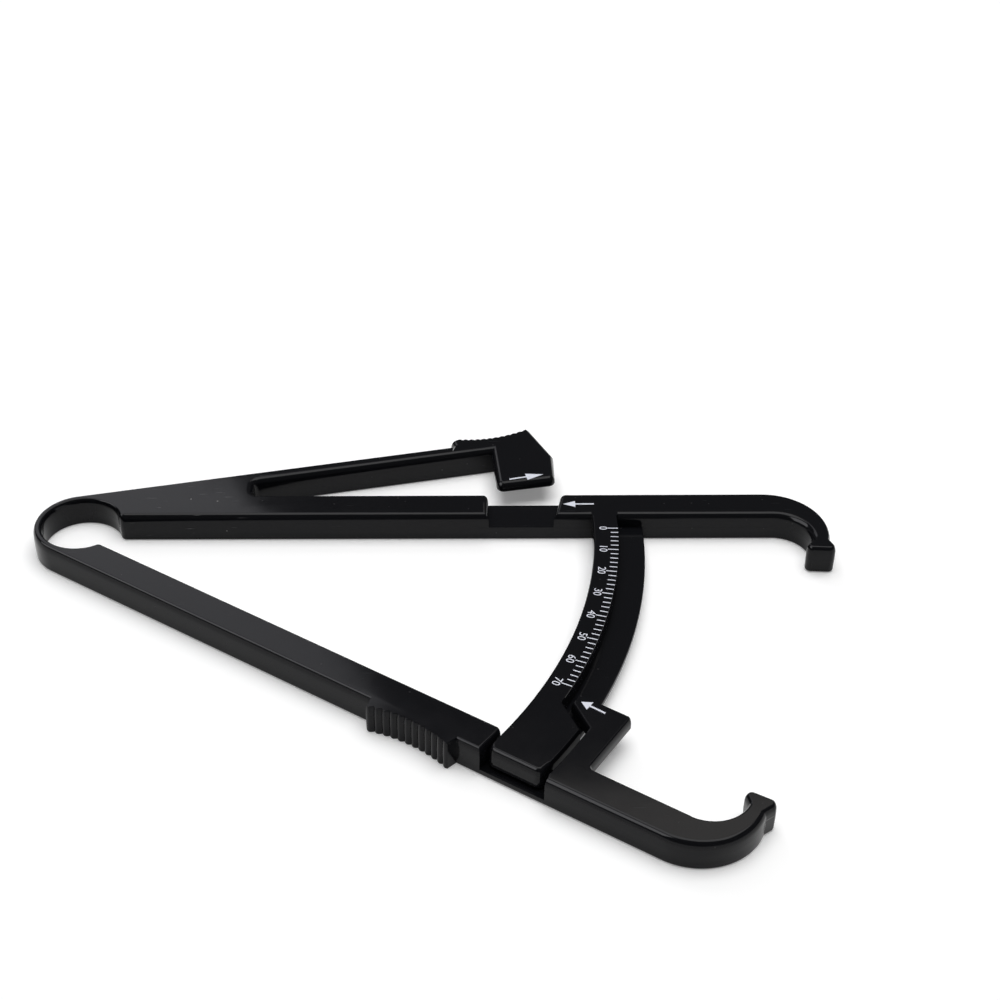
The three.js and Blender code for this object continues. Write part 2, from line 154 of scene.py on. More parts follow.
def rimProfile(bottom, top, lowRound, topRound):
    # the wall's rings from the lower rim to the upper one: height, and how far the roundings
    # of the two rims draw it in, radius times one minus the sine; the upper rim is a quarter
    # of an ellipse, taller than it is wide
    tall = topRound * body["steep"]
    t = np.linspace(0, math.pi / 2, fine["rimSteps"] + 1)
    lower = [(bottom + lowRound * (1 - math.cos(a)), 0, lowRound * (1 - math.sin(a))) for a in t]
    upper = [(top - tall * (1 - math.cos(a)), topRound * (1 - math.sin(a)), 0) for a in t[::-1]]
    lower = lower if lowRound else [(bottom, 0, 0)]
    upper = upper if topRound else [(top, 0, 0)]
    middle = [(body["parting"], 0, 0)] if bottom + lowRound < body["parting"] < top - tall else []
    return np.array(lower + middle + upper)


def slab(loop, bottom, top, lowRound=0.0, topRound=0.0):
    # a closed solid over an outline: rings of the outline, each inset by its draft and rim
    # rounding, joined by quads and closed by two flat faces
    points, shares = loop
    area = (points[:, 0] * np.roll(points[:, 1], -1) - np.roll(points[:, 0], -1) * points[:, 1]).sum()
    if area < 0:
        points, shares = points[::-1], np.roll(shares[::-1], -1, 0)
    wall = (shares.max(1) > 0) * 1.0
    rings = []
    for z, highInset, lowInset in rimProfile(bottom, top, lowRound, topRound):
        draft = body["draft"] * abs(z - body["parting"])
        flat = inset(points, wall * draft + shares[:, 0] * highInset + shares[:, 1] * lowInset)
        rings.append(np.column_stack([flat, np.full(len(flat), z)]))
    return stack(np.array(rings))


def stack(rings):
    # rings of equal count, joined into a closed tube with flat ends
    k, n = rings.shape[:2]
    index = np.arange(k * n).reshape(k, n)
    right = np.roll(index, -1, 1)
    quads = np.stack([index[:-1], right[:-1], right[1:], index[1:]], -1).reshape(-1, 4)
    return rings.reshape(-1, 3), quads.tolist() + [index[0, ::-1].tolist(), index[-1].tolist()]


def piece(name, shells, material, rides, stands=()):
    # puts shells in the frame in metres, as one object that rides on a body when rides names one, and
    # otherwise stays where it is drawn; the bodies and places of a tuple are not used
    verts, faces, base = [], [], 0
    for points, quads in shells:
        verts.append(points)
        faces += [[i + base for i in quad] for quad in quads]
        base += len(points)
    verts = np.concatenate(verts)
    verts[:, :2] += bowCentre
    mesh = bpy.data.meshes.new(name)
    mesh.from_pydata((verts * mm).tolist(), [], faces)
    mesh.shade_smooth()
    mesh.set_sharp_from_angle(angle=math.radians(fine["crease"]))
    mesh.materials.append(material)
    made = bpy.data.objects.new(name, mesh)
    bpy.context.scene.collection.objects.link(made)
    weighted = made.modifiers.new("faceWeighted", "WEIGHTED_NORMAL")
    weighted.keep_sharp = True
    if isinstance(rides, str):
        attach(made, rides)
    else:
        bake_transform(made)
    if stands:
        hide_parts(*stands)


def inFrame(x, y, z=0.0):
    # a drawn place in the frame's metres: the bow's centre is added, and z counts from the table
    return ((bowCentre[0] + x) * mm, (bowCentre[1] + y) * mm, z * mm)


print("materials")
# scales are per metre; the limits are where a noise or a distance starts and ends to count
wear = {"scratchLays": ((0.35, 260), (1.25, 330), (2.2, 290)), "scratchStretch": 0.06,
        "scratchCells": 4.0, "scratchLimits": (0.12, 0.05), "patchShift": 0.01, "patchScale": 210.0,
        "patchLimits": (0.53, 0.6), "dustScale": 520.0, "dustLimits": (0.13, 0.06),
        "dustPick": (0.78, 0.82), "smearScale": 75.0, "smearRoughness": 0.6,
        "smearLimits": (0.42, 0.68), "waveScale": 42.0}


def newGroup(name, inputs, outputs):
    # an empty node group with its named sockets, and the two nodes that stand for them
    group = bpy.data.node_groups.new(name, "ShaderNodeTree")
    for label, kind, value in inputs:
        socket = group.interface.new_socket(name=label, in_out="INPUT", socket_type=kind)
        if value is not None:
            socket.default_value = value
    for label, kind in outputs:
        group.interface.new_socket(name=label, in_out="OUTPUT", socket_type=kind)
    return group, group.nodes.new("NodeGroupInput"), group.nodes.new("NodeGroupOutput")


def addNode(tree, kind, values=(), **settings):
    # a node with its own settings, and with values for the inputs that nothing is linked to
    node = tree.nodes.new(kind)
    for key, value in settings.items():
        setattr(node, key, value)
    for key, value in dict(values).items():
        node.inputs[key].default_value = value
    return node


def addRange(tree, limits, low=0.0, high=1.0):
    # a Map Range node from the limits of what comes in to a low and a high value
    return addNode(tree, "ShaderNodeMapRange", {"From Min": limits[0], "From Max": limits[1],
                                                "To Min": low, "To Max": high})


def join(tree, *pairs):
    # links the first socket of each pair to the second
    for source, target in pairs:
        tree.links.new(source, target)


def scratchMask(group, vector, turn, size):
    # cells drawn out into short lines, kept only where a noise is high
    stretch = (size * wear["scratchStretch"], size, size)
    lay = addNode(group, "ShaderNodeMapping", {"Rotation": (0, 0, turn), "Scale": stretch})
    cells = addNode(group, "ShaderNodeTexVoronoi", {"Scale": wear["scratchCells"], "Randomness": 1.0},
                    feature="F1")
    line = addRange(group, wear["scratchLimits"])
    where = addNode(group, "ShaderNodeMapping", {"Location": (turn, size * wear["patchShift"], 0)})
    patch = addNode(group, "ShaderNodeTexNoise", {"Scale": wear["patchScale"], "Detail": 2.0})
    keep = addRange(group, wear["patchLimits"])
    both = addNode(group, "ShaderNodeMath", operation="MULTIPLY")
    join(group, (vector, lay.inputs["Vector"]), (lay.outputs[0], cells.inputs["Vector"]),
         (cells.outputs["Distance"], line.inputs["Value"]), (vector, where.inputs["Vector"]),
         (where.outputs[0], patch.inputs["Vector"]), (patch.outputs["Fac"], keep.inputs["Value"]),
         (line.outputs[0], both.inputs[0]), (keep.outputs[0], both.inputs[1]))
    return both


def handlingGroup():
    # short fine scratches, pale specks of dust and dull smears, all as masks, and a gentle
    # waviness of the moulded faces as a height
    group, ins, outs = newGroup(
        "handlingMarks",
        [("Vector", "NodeSocketVector", None), ("Scratch Amount", "NodeSocketFloat", 0.5),
         ("Dust Amount", "NodeSocketFloat", 0.5)],
        [("Scratches", "NodeSocketFloat"), ("Dust", "NodeSocketFloat"),
         ("Smears", "NodeSocketFloat"), ("Wave", "NodeSocketFloat")],
    )
    vector = ins.outputs["Vector"]
    masks = [scratchMask(group, vector, turn, size) for turn, size in wear["scratchLays"]]
    firstTwo = addNode(group, "ShaderNodeMath", operation="MAXIMUM")
    allThree = addNode(group, "ShaderNodeMath", operation="MAXIMUM")
    scaled = addNode(group, "ShaderNodeMath", operation="MULTIPLY", use_clamp=True)
    join(group, (masks[0].outputs[0], firstTwo.inputs[0]), (masks[1].outputs[0], firstTwo.inputs[1]),
         (firstTwo.outputs[0], allThree.inputs[0]), (masks[2].outputs[0], allThree.inputs[1]),
         (allThree.outputs[0], scaled.inputs[0]), (ins.outputs["Scratch Amount"], scaled.inputs[1]),
         (scaled.outputs[0], outs.inputs["Scratches"]))
    motes = addNode(group, "ShaderNodeTexVoronoi", {"Scale": wear["dustScale"], "Randomness": 1.0},
                    feature="F1")
    dot = addRange(group, wear["dustLimits"])
    rare = addNode(group, "ShaderNodeSeparateColor")
    pick = addRange(group, wear["dustPick"])
    dust = addNode(group, "ShaderNodeMath", operation="MULTIPLY")
    amount = addNode(group, "ShaderNodeMath", operation="MULTIPLY", use_clamp=True)
    join(group, (vector, motes.inputs["Vector"]), (motes.outputs["Distance"], dot.inputs["Value"]),
         (motes.outputs["Color"], rare.inputs["Color"]), (rare.outputs["Red"], pick.inputs["Value"]),
         (dot.outputs[0], dust.inputs[0]), (pick.outputs[0], dust.inputs[1]),
         (dust.outputs[0], amount.inputs[0]), (ins.outputs["Dust Amount"], amount.inputs[1]),
         (amount.outputs[0], outs.inputs["Dust"]))
    smear = addNode(group, "ShaderNodeTexNoise", {"Scale": wear["smearScale"], "Detail": 5.0,
                                                  "Roughness": wear["smearRoughness"]})
    smearMask = addRange(group, wear["smearLimits"])
    wave = addNode(group, "ShaderNodeTexNoise", {"Scale": wear["waveScale"], "Detail": 1.0})
    join(group, (vector, smear.inputs["Vector"]), (smear.outputs["Fac"], smearMask.inputs["Value"]),
         (smearMask.outputs[0], outs.inputs["Smears"]), (vector, wave.inputs["Vector"]),
         (wave.outputs["Fac"], outs.inputs["Wave"]))
    return group


handling = handlingGroup()


def glossyPlastic(name, values):
    # clear gloss over a deep colour; scratches and dust gather round the worn place
    material = bpy.data.materials.new(name)
    material.use_nodes = True
    tree = material.node_tree
    shader = tree.nodes["Principled BSDF"]
    shader.inputs["IOR"].default_value = values["ior"]
    shader.inputs["Specular IOR Level"].default_value = values["shine"]
    place = addNode(tree, "ShaderNodeTexCoord")
    marks = addNode(tree, "ShaderNodeGroup")
    marks.node_tree = handling
    away = addNode(tree, "ShaderNodeVectorMath", operation="DISTANCE")
    away.inputs[1].default_value = values["wornPlace"]
    reach = (values["wornReach"], values["wornReach"] * values["wornCore"])
    worn = [addRange(tree, reach, values[key] * values["elsewhere"], values[key])
            for key in ("scratches", "dust")]
    tint = addNode(tree, "ShaderNodeMix", data_type="RGBA")
    tint.inputs["A"].default_value = (*values["colour"], 1)
    tint.inputs["B"].default_value = (*values["scratchColour"], 1)
    dusty = addNode(tree, "ShaderNodeMix", data_type="RGBA")
    dusty.inputs["B"].default_value = (*values["dustColour"], 1)
    dull = addRange(tree, (0, 1), values["roughness"], values["smearRoughness"])
    bump = addNode(tree, "ShaderNodeBump", {"Strength": values["waviness"], "Distance": values["waveHeight"]})
    cut = addNode(tree, "ShaderNodeBump", {"Strength": values["cutStrength"], "Distance": values["cutDepth"]},
                  invert=True)
    join(tree, (place.outputs["Object"], away.inputs[0]), (away.outputs["Value"], worn[0].inputs["Value"]),
         (away.outputs["Value"], worn[1].inputs["Value"]),
         (worn[0].outputs[0], marks.inputs["Scratch Amount"]),
         (worn[1].outputs[0], marks.inputs["Dust Amount"]))
    join(tree, (place.outputs["Object"], marks.inputs["Vector"]),
         (marks.outputs["Scratches"], tint.inputs["Factor"]), (tint.outputs["Result"], dusty.inputs["A"]),
         (marks.outputs["Dust"], dusty.inputs["Factor"]),
         (dusty.outputs["Result"], shader.inputs["Base Color"]),
         (marks.outputs["Smears"], dull.inputs["Value"]), (dull.outputs[0], shader.inputs["Roughness"]),
         (marks.outputs["Wave"], bump.inputs["Height"]), (marks.outputs["Scratches"], cut.inputs["Height"]),
         (bump.outputs[0], cut.inputs["Normal"]), (cut.outputs[0], shader.inputs["Normal"]))
    return material


# the worn place and all heights are in metres, as Object coordinates are
blackPlastic = glossyPlastic("blackPlastic", {
    "colour": (0.0052, 0.0054, 0.0066), "scratchColour": (0.3, 0.3, 0.31), "dustColour": (0.5, 0.49, 0.48),
    "roughness": 0.07, "smearRoughness": 0.12, "ior": 1.45, "shine": 0.19, "scratches": 0.7, "dust": 0.9,
    "elsewhere": 0.04, "wornPlace": (-0.0526, 0.0313, 0.0066), "wornReach": 0.013, "wornCore": 0.3,
    "waviness": 0.05, "waveHeight": 0.0004, "cutStrength": 0.25, "cutDepth": 0.00003})


def inkMaterial(name, values):
    # white ink: a little thinner in fine speckles, so that the black shows through
    material = bpy.data.materials.new(name)
    material.use_nodes = True
    tree = material.node_tree
    shader = tree.nodes["Principled BSDF"]
    shader.inputs["Roughness"].default_value = values["roughness"]
    place = addNode(tree, "ShaderNodeTexCoord")
    thin = addNode(tree, "ShaderNodeTexNoise", {"Scale": values["speckleScale"], "Detail": 3.0})
    mask = addRange(tree, values["speckleLimits"])
    colour = addNode(tree, "ShaderNodeMix", data_type="RGBA")
    colour.inputs["A"].default_value = (*values["colour"], 1)
    colour.inputs["B"].default_value = (*values["thinColour"], 1)
    bump = addNode(tree, "ShaderNodeBump", {"Strength": values["reliefStrength"],
                                            "Distance": values["reliefHeight"]})
    join(tree, (place.outputs["Object"], thin.inputs["Vector"]), (thin.outputs["Fac"], mask.inputs["Value"]),
         (mask.outputs[0], colour.inputs["Factor"]), (colour.outputs["Result"], shader.inputs["Base Color"]),
         (thin.outputs["Fac"], bump.inputs["Height"]), (bump.outputs[0], shader.inputs["Normal"]))
    return material


whiteInk = inkMaterial("whiteInk", {
    "colour": (0.72, 0.74, 0.82), "thinColour": (0.3, 0.31, 0.35), "roughness": 0.45,
    "speckleScale": 1800.0, "speckleLimits": (0.62, 0.8), "reliefStrength": 0.2, "reliefHeight": 0.00002})

print("fixed arm")
low, mid, high = 0.0, body["parting"], body["height"]
lowRound, topRound, outside = body["lowRound"], body["round"], body["outside"]
# places along an arm count from the bow's centre, and tilts are in degrees
lever = {"tilt": 12.5, "thick": 3.3, "slotStart": 35.2, "slotCorner": 1.5, "seam": 36.5, "bendEnd": 60,
         "pad": 78.7, "stations": 110}
notch = {"left": 86.4, "right": 100.3, "slant": 1.5, "leftCorner": 1.1, "rightCorner": 1.2, "bridge": 84.0,
         "bridgeRound": 0.4, "lap": 0.1, "ramp": 1.2, "rampShare": 0.5}
jaw = {"reach": 158.8, "outerRadius": 13.0, "wall": 4.0, "straight": 0.7, "topShares": (1, 0.64, outside),
       "movingRound": 1.1, "movingShares": (0.7, 0.7, 1)}
foot = {"corner": 1.35, "straight": 0.4, "lowShare": 1.5, "flare": 1.6, "outerFlare": 0.5,
        "outerRim": 1.8, "neckRound": 0.5, "shoulderRound": 0.9}


def onBlade(x, depth):
    # the lever's rear line touches the bow; a depth into the blade shifts it
    t = math.radians(lever["tilt"])
    return (arm["outer"] - depth + x * math.sin(t)) / math.cos(t)


def jawRun(inner, tilt, topShares, lowShare):
    # from the inner wall round the hook and its foot to the outer wall; the three upper shares
    # are those of the inner side, the foot and the outer side
    slope = math.tan(math.radians(tilt))
    neckX = jaw["reach"] - jaw["wall"]
    left, right = neckX - foot["flare"], jaw["reach"] + foot["outerFlare"]
    innerFace, outerFace = [left, -left * slope], [right, -right * slope]
    neckLow = innerFace[1] + foot["corner"] + foot["straight"] + foot["flare"]
    neck = [neckX, neckLow]
    radius = inner - neckLow - jaw["straight"]
    outX, outY = jaw["reach"] - jaw["outerRadius"], arm["outer"] - jaw["outerRadius"]
    innerShoulder = [left, neckLow - foot["flare"]]
    outerShoulder = [right, outerFace[1] + foot["outerRim"]]
    shoulderAngle = -math.degrees(math.asin((outY - neckLow) / jaw["outerRadius"]))
    shoe = np.concatenate([
        rounded([neckX, inner], neck, innerShoulder, foot["neckRound"]),
        rounded(neck, innerShoulder, innerFace, foot["shoulderRound"]),
        rounded(innerShoulder, innerFace, outerFace, foot["corner"]),
        rounded(innerFace, outerFace, outerShoulder, foot["corner"]),
        [outerShoulder],
    ])
    return [(arc(neckX - radius, inner - radius, radius, 90, 0), topShares[0], lowShare),
            (shoe, topShares[1], lowShare * foot["lowShare"]),
            (arc(outX, outY, jaw["outerRadius"], shoulderAngle, 90), topShares[2], lowShare)]


slotFront = [lever["slotStart"], arm["outer"]]
slotRear = [lever["slotStart"], onBlade(lever["slotStart"], lever["thick"])]
seamFront = [lever["seam"], onBlade(lever["seam"], lever["thick"])]
seamRear = [lever["seam"], onBlade(lever["seam"], 0)]
bowTop = [0, onBlade(0, 0)]
slotRun = np.concatenate([
    rounded([notch["left"], arm["outer"]], slotFront, slotRear, lever["slotCorner"]),
    rounded(slotFront, slotRear, seamFront, lever["slotCorner"]),
])


def holeRun(wall, topShare, lowShare):
    # the wall of the bow's hole round its corner to the arm's inner wall; the upper rim's
    # share grows round the corner from the hole's to the arm's
    end = math.radians(angleAt(bow["inner"], wall) + body["cornerGap"])
    before = [bow["inner"] * math.cos(end), bow["inner"] * math.sin(end)]
    corner = rounded(before, cross(bow["inner"], wall), [notch["left"], wall], body["holeCorner"])
    grown = np.linspace(body["hole"] if topShare else 0, topShare, len(corner))
    return [(arc(0, 0, bow["inner"], 90, math.degrees(end)), grown[0], lowShare)] + [
        (point, share, lowShare) for point, share in zip(corner, grown)]


notchLeft = [notch["left"], arm["outer"]]
leftWall = rounded([notch["left"], 0], notchLeft, [0, arm["outer"]], notch["leftCorner"])
nearHigh = trace(*holeRun(arm["inner"], 1, 0), ([notch["left"], arm["inner"]], 1, 0),
                 (leftWall, body["notch"], 0), (slotRun, 1, 0), (seamFront, 0, 0),
                 (seamRear, outside, 0), (bowTop, 0, 0))
bridgeFront, bridgeRear = [notch["bridge"], arm["inner"]], [notch["bridge"], arm["outer"]]
nearLow = trace(*holeRun(arm["inner"], 0, 1), (bridgeFront, 0, 0), (bridgeRear, 0, 1), (slotRun, 0, 1),
                (seamFront, 0, 0), (seamRear, 0, 1), (bowTop, 0, 0))
piece("nearArm", [slab(nearHigh, mid, high, 0, topRound), slab(nearLow, low, mid, lowRound, 0)],
      blackPlastic, "fixed_frame", ["upper_arm"])

# inner to plate are radii round the bow's centre; front and shoulder lie that far to either
# side of the moving arm's axis
quad = {"inner": 108.4, "outer": 114.0, "guide": 119.5, "plate": 120.3, "bottom": 2.0, "thinRound": 0.3,
        "front": 8.9, "frontCorner": 1.5, "shoulder": 9.3, "rise": 4.5, "sunk": 0.004, "guideLap": 1,
        "plateShare": 0.7, "plateEndShare": 0.4}
rightX = notch["right"] + notch["slant"] + notch["rightCorner"]
rightWall = arc(rightX, arm["outer"] - notch["rightCorner"], notch["rightCorner"], 90, 180)
bandIn, bandOut = [beside(quad[key], arm["inner"]) for key in ("inner", "outer")]
# the band's root lies a hair below the arm's rim, so that the rim ends beside it
flush = arm["inner"] - quad["sunk"]
farHigh = trace(([notch["right"], arm["inner"]], 1, 0), ([bandIn, arm["inner"]], 0, 0),
                ([[bandIn, flush], [bandOut, flush]], 0, 0), ([bandOut, arm["inner"]], 1, 0),
                *jawRun(arm["inner"], arm["footTilt"], jaw["topShares"], 0), (rightWall, body["notch"], 0))
farLow = trace((bridgeFront, 0, 1), ([notch["left"] + notch["lap"], arm["inner"]], notch["rampShare"], 1),
               ([notch["right"] - notch["lap"], arm["inner"]], 0, 1),
               *jawRun(arm["inner"], arm["footTilt"], (0, 0, 0), 1),
               ([notch["right"] + notch["ramp"], arm["outer"]], notch["rampShare"], 1),
               ([notch["left"] + notch["lap"], arm["outer"]], 0, 1), (bridgeRear, 0, 0))
piece("farArm", [slab(farHigh, mid, high, 0, topRound),
                 slab(farLow, low, mid, lowRound, notch["bridgeRound"])],
      blackPlastic, "fixed_frame", ["notch_bridge", "upper_jaw_arm", "upper_jaw_foot"])

print("quadrant")


def quadLoop(outer, start, innerShare, plateShare, outerShare, lowShare):
    # the inner arc, the end plate with its two front corners and slanting shoulder, and the
    # outer arc back to the arm
    def armAngle(radius, y):
        return -bow["open"] - angleAt(radius, y)

    near = quad["front"] - 2 * quad["frontCorner"]
    inner, plate = quad["inner"], quad["plate"]
    corners = [onArm(*cross(radius, quad["front"])) for radius in (inner, plate)]
    before, after = onArm(*cross(inner, near)), onArm(*cross(plate, near))
    shoulderEnd = quad["rise"] - quad["shoulder"]
    outerStart = -quad["shoulder"] if outer == quad["outer"] else shoulderEnd
    points, shares = trace(
        (arc(0, 0, inner, angleAt(inner, start), armAngle(inner, near)), innerShare, lowShare),
        (rounded(before, corners[0], corners[1], quad["frontCorner"]), plateShare, lowShare),
        (rounded(corners[0], corners[1], after, quad["frontCorner"]), plateShare, lowShare),
        (arc(0, 0, plate, armAngle(plate, near), armAngle(plate, shoulderEnd)),
         plateShare * quad["plateEndShare"], lowShare),
        (arc(0, 0, outer, armAngle(outer, outerStart), angleAt(outer, start)), outerShare, lowShare))
    shares[-1] = 0
    return points, shares


bandHigh = quadLoop(quad["outer"], arm["inner"], body["band"], quad["plateShare"], body["band"], 0)
guideLow = quadLoop(quad["guide"], arm["inner"] + quad["guideLap"], 0, 0, 1, 1)
piece("quadrant", [slab(bandHigh, mid, high, 0, topRound),
                   slab(guideLow, quad["bottom"], mid, quad["thinRound"], quad["thinRound"])],
      blackPlastic, "fixed_frame", ["scale_band", "guide_flange", "end_stop_plate"])

print("bow")
rim = rimProfile(low, high, lowRound, topRound)
fullInset = rim[:, 1] + rim[:, 2] + body["draft"] * np.abs(rim[:, 0] - mid)
holeInset = fullInset - rim[:, 1] * (1 - body["hole"])
outsideInset = fullInset - rim[:, 1] * (1 - outside)
# up one wall of the section and down the other
sectionHeights = np.concatenate([rim[:, 0], rim[::-1, 0]])[None, :]
lowerSeam = 270 - bow["open"]
bowAngle = np.radians(np.linspace(90, lowerSeam, bow["stations"]))[:, None]
# the outer wall is the circle, and beside the fixed arm the straight line that touches it
lean = np.radians(np.maximum(90 + lever["tilt"] - np.degrees(bowAngle), 0))
innerRadii = bow["inner"] + holeInset[None, :] + 0 * bowAngle
outerRadii = (bow["outer"] - outsideInset[None, ::-1]) / np.cos(lean)
radii = np.concatenate([innerRadii, outerRadii], 1)
bowRings = np.stack([radii * np.cos(bowAngle), radii * np.sin(bowAngle), sectionHeights + 0 * bowAngle], -1)
# two places on the bow's chord, on the fixed arm's side and on the moving arm's; piece is given them but does
# not use them
chordAngle = math.radians((90 + lowerSeam) / 2 + 90)
bowReach = bow["inner"] * math.sin(math.radians((lowerSeam - 90) / 2)) - bow["clear"]
bendX, bendY = bowReach * math.cos(chordAngle), bowReach * math.sin(chordAngle)
piece("bow", [stack(bowRings)], blackPlastic,
      ("fixed_frame", "moving_arm", inFrame(-bendX, -bendY), inFrame(bendX, bendY)), ["bow_spring"])

print("press lever")
bladeX = np.linspace(lever["seam"], lever["pad"], lever["stations"])[:, None]
tiltCosine = math.cos(math.radians(lever["tilt"]))
frontY = onBlade(bladeX, lever["thick"]) + fullInset[None, :] / tiltCosine
rearY = onBlade(bladeX, 0) - outsideInset[None, ::-1] / tiltCosine
bladeY = np.concatenate([frontY, rearY], 1)
bladeRings = np.stack([bladeX + 0 * bladeY, bladeY, sectionHeights + 0 * bladeY], -1)
# stacked from the pad back to the seam, so that the faces point outwards
piece("pressBlade", [stack(bladeRings[::-1])], blackPlastic,
      ("fixed_frame", "press_lever", inFrame(lever["seam"], pressRoot[1]),
       inFrame(lever["bendEnd"], pressRoot[1])), ["press_blade"])

# the pad's ribs stand on a crest above the blade's rear wall, and the head reaches forward
pad = {"tipX": 96.2, "lift": 2.8, "slantWidth": 5.0, "slantRise": 10.3, "crest": 2.7, "chamfer": 0.8,
       "overhang": 0.4, "rootStep": 0.3, "ribSet": 0.9, "ribEnd": 0.7, "hollowSet": 3.5, "rise": 4.1,
       "ribs": 12, "depth": 0.24, "ribShare": 0.35}
head = {"left": 88.4, "lean": 1.4, "width": 12.8, "front": 13.0, "slope": 2.5, "corner": 1.6,
        "bottom": 4.4, "lowRound": 0.35, "lowShare": 0.8, "samples": 2001}


def ribRun(start, end, count, depth, crest):
    # rounded ribs along a crest line: its height plus a depth times the size of a sine
    turns = np.linspace(0, count, count * fine["perRib"] + 1)
    x = start + (end - start) * turns / count
    return np.stack([x, crest(x) + depth * np.abs(np.sin(np.pi * turns))], 1)


tipY = onBlade(pad["tipX"], 0) + pad["lift"]
crestLow = onBlade(lever["pad"], 0) + pad["crest"]
ribStart, ribStop = lever["pad"] + pad["ribSet"], pad["tipX"] - pad["ribEnd"]
hollow = lever["pad"] + pad["hollowSet"]


def padCrest(x):
    # level at first, then up as the square of the way from the hollow to the last rib
    return crestLow + pad["rise"] * (np.maximum(0, x - hollow) / (ribStop - hollow)) ** 2


padRibs = ribRun(ribStart, ribStop, pad["ribs"], pad["depth"], padCrest)[::-1]
padRoot = [lever["pad"], onBlade(lever["pad"], 0)]
padLeft = [[lever["pad"] - pad["overhang"], crestLow - pad["chamfer"]],
           [lever["pad"], padRoot[1] + pad["rootStep"]]]
padFront = [lever["pad"], onBlade(lever["pad"], lever["thick"])]
slantShare = (tipY - onBlade(pad["tipX"], lever["thick"])) / pad["slantRise"]
slantX = pad["tipX"] + slantShare * pad["slantWidth"]
headRight = head["left"] + head["width"]
headRear = np.array([head["left"] - head["lean"], onBlade(head["left"] - head["lean"], 0)])
headFront = np.array([head["left"], head["front"]])
# where the head's left wall leaves the blade's front wall, as the nearest of many points
wallLine = headRear + (headFront - headRear) * np.linspace(0, 1, head["samples"])[:, None]
meet = wallLine[np.argmin(np.abs(wallLine[:, 1] - onBlade(wallLine[:, 0], lever["thick"])))]
headCorner = [headRight, head["front"] + head["slope"]]
slantStart = [headRight, tipY - pad["slantRise"]]


def padLoop(front, topShare, lowShare):
    # the front of the pad as given, then its tip, its ribs and its step down to the blade
    return trace((padFront, topShare, lowShare), *front, ([pad["tipX"], tipY], topShare, lowShare),
                 (padRibs, topShare * pad["ribShare"], lowShare * pad["ribShare"]),
                 (padLeft, topShare, lowShare), (padRoot, 0, 0))


padLow = padLoop([([slantX, onBlade(slantX, lever["thick"])], 0, 1)], 0, 1)
headRun = np.concatenate([[meet], rounded(headRear, headFront, headCorner, head["corner"]),
                          rounded(headFront, headCorner, slantStart, head["corner"]), [slantStart]])
padHigh = padLoop([(headRun, 1, head["lowShare"])], 1, 0)
piece("thumbPad", [slab(padLow, low, head["bottom"], lowRound, 0),
                   slab(padHigh, head["bottom"], high, head["lowRound"], topRound)],
      blackPlastic, "press_lever", ["thumb_ribs", "press_head"])

print("moving arm")
# inner, outer and edge are radii round the bow's centre, and webTop and bottom are heights
channel = {"inner": 107.9, "outer": 121.9, "corner": 1.0, "webTop": 1.4, "chord": 8, "wallFrom": 5,
           "wallTo": 8.2}
grip = {"start": 82.5, "length": 19.7, "ribSet": 0.5, "low": 0.6, "rise": 1.4, "ribs": 12, "depth": 0.38,
        "ribShare": 0.3}
pointer = {"inner": 115.5, "edge": 121.2, "rear": -13.2, "right": 126.8, "corner": 1.0, "smallCorner": 0.8,
           "gap": 1.4, "bottom": 3.9, "bevelGap": 1.2, "rearGap": 1.8, "rearChord": 2, "topShare": 0.5,
           "lowShare": 0.7, "lowRound": 0.35}
gripMiddle = grip["start"] + grip["length"] / 2
gripHalf = grip["length"] / 2 - grip["ribSet"]


def gripCrest(x):
    # a hollow that rises as the square of the way from its middle
    return arm["outer"] + grip["low"] + grip["rise"] * ((x - gripMiddle) / gripHalf) ** 2


gripRibs = ribRun(gripMiddle - gripHalf, gripMiddle + gripHalf, grip["ribs"], grip["depth"], gripCrest)[::-1]


def outerWallRun(topShare, lowShare):
    # the outer wall back to the bow, with the ribs of the finger grip standing out of it
    part = grip["ribShare"]
    ribs = np.concatenate([[[grip["start"] + grip["length"], arm["outer"]]], gripRibs])
    return [(ribs, topShare * part, lowShare * part), ([grip["start"], arm["outer"]], topShare, lowShare),
            ([0, arm["outer"]], 0, 0)]


wallUp = [cross(channel["outer"], arm["movingInner"]), cross(channel["outer"], arm["outer"])]
baseNear = trace(*holeRun(arm["movingInner"], 0, 1), (wallUp[:1], 0, 0), (wallUp[1:], 0, 1),
                 *outerWallRun(0, 1))
channelWall = np.concatenate([
    rounded([0, arm["movingInner"]], cross(channel["inner"], arm["movingInner"]),
            cross(channel["inner"], channel["chord"]), channel["corner"]),
    arc(0, 0, channel["inner"], angleAt(channel["inner"], channel["wallFrom"]),
        angleAt(channel["inner"], channel["wallTo"])),
    [cross(channel["inner"], arm["outer"])],
])
nearTop = trace(*holeRun(arm["movingInner"], outside, 0), (channelWall, outside, 0),
                *outerWallRun(outside, 0))
piece("movingArm", [slab(turned(baseNear), low, channel["webTop"], lowRound, 0),
                    slab(turned(nearTop), channel["webTop"], high, 0, topRound)],
      blackPlastic, "moving_arm", ["lower_arm", "finger_grip", "channel_web"])

wallDown = wallUp[::-1]
movingJaw = jawRun(arm["movingInner"], arm["movingFootTilt"], (0, 0, 0), 1)
baseFar = trace(*movingJaw, (wallDown, 0, 0))
farMiddle = trace(*movingJaw, (wallDown, 0, 1))
shoulderStart = np.array([beside(quad["outer"], quad["shoulder"]), -quad["shoulder"]])
shoulderStop = np.array(cross(quad["plate"], quad["rise"] - quad["shoulder"]))
direction = (shoulderStop - shoulderStart) / np.linalg.norm(shoulderStop - shoulderStart)
bevel = shoulderStart + np.array([direction[1], -direction[0]]) * pointer["gap"]


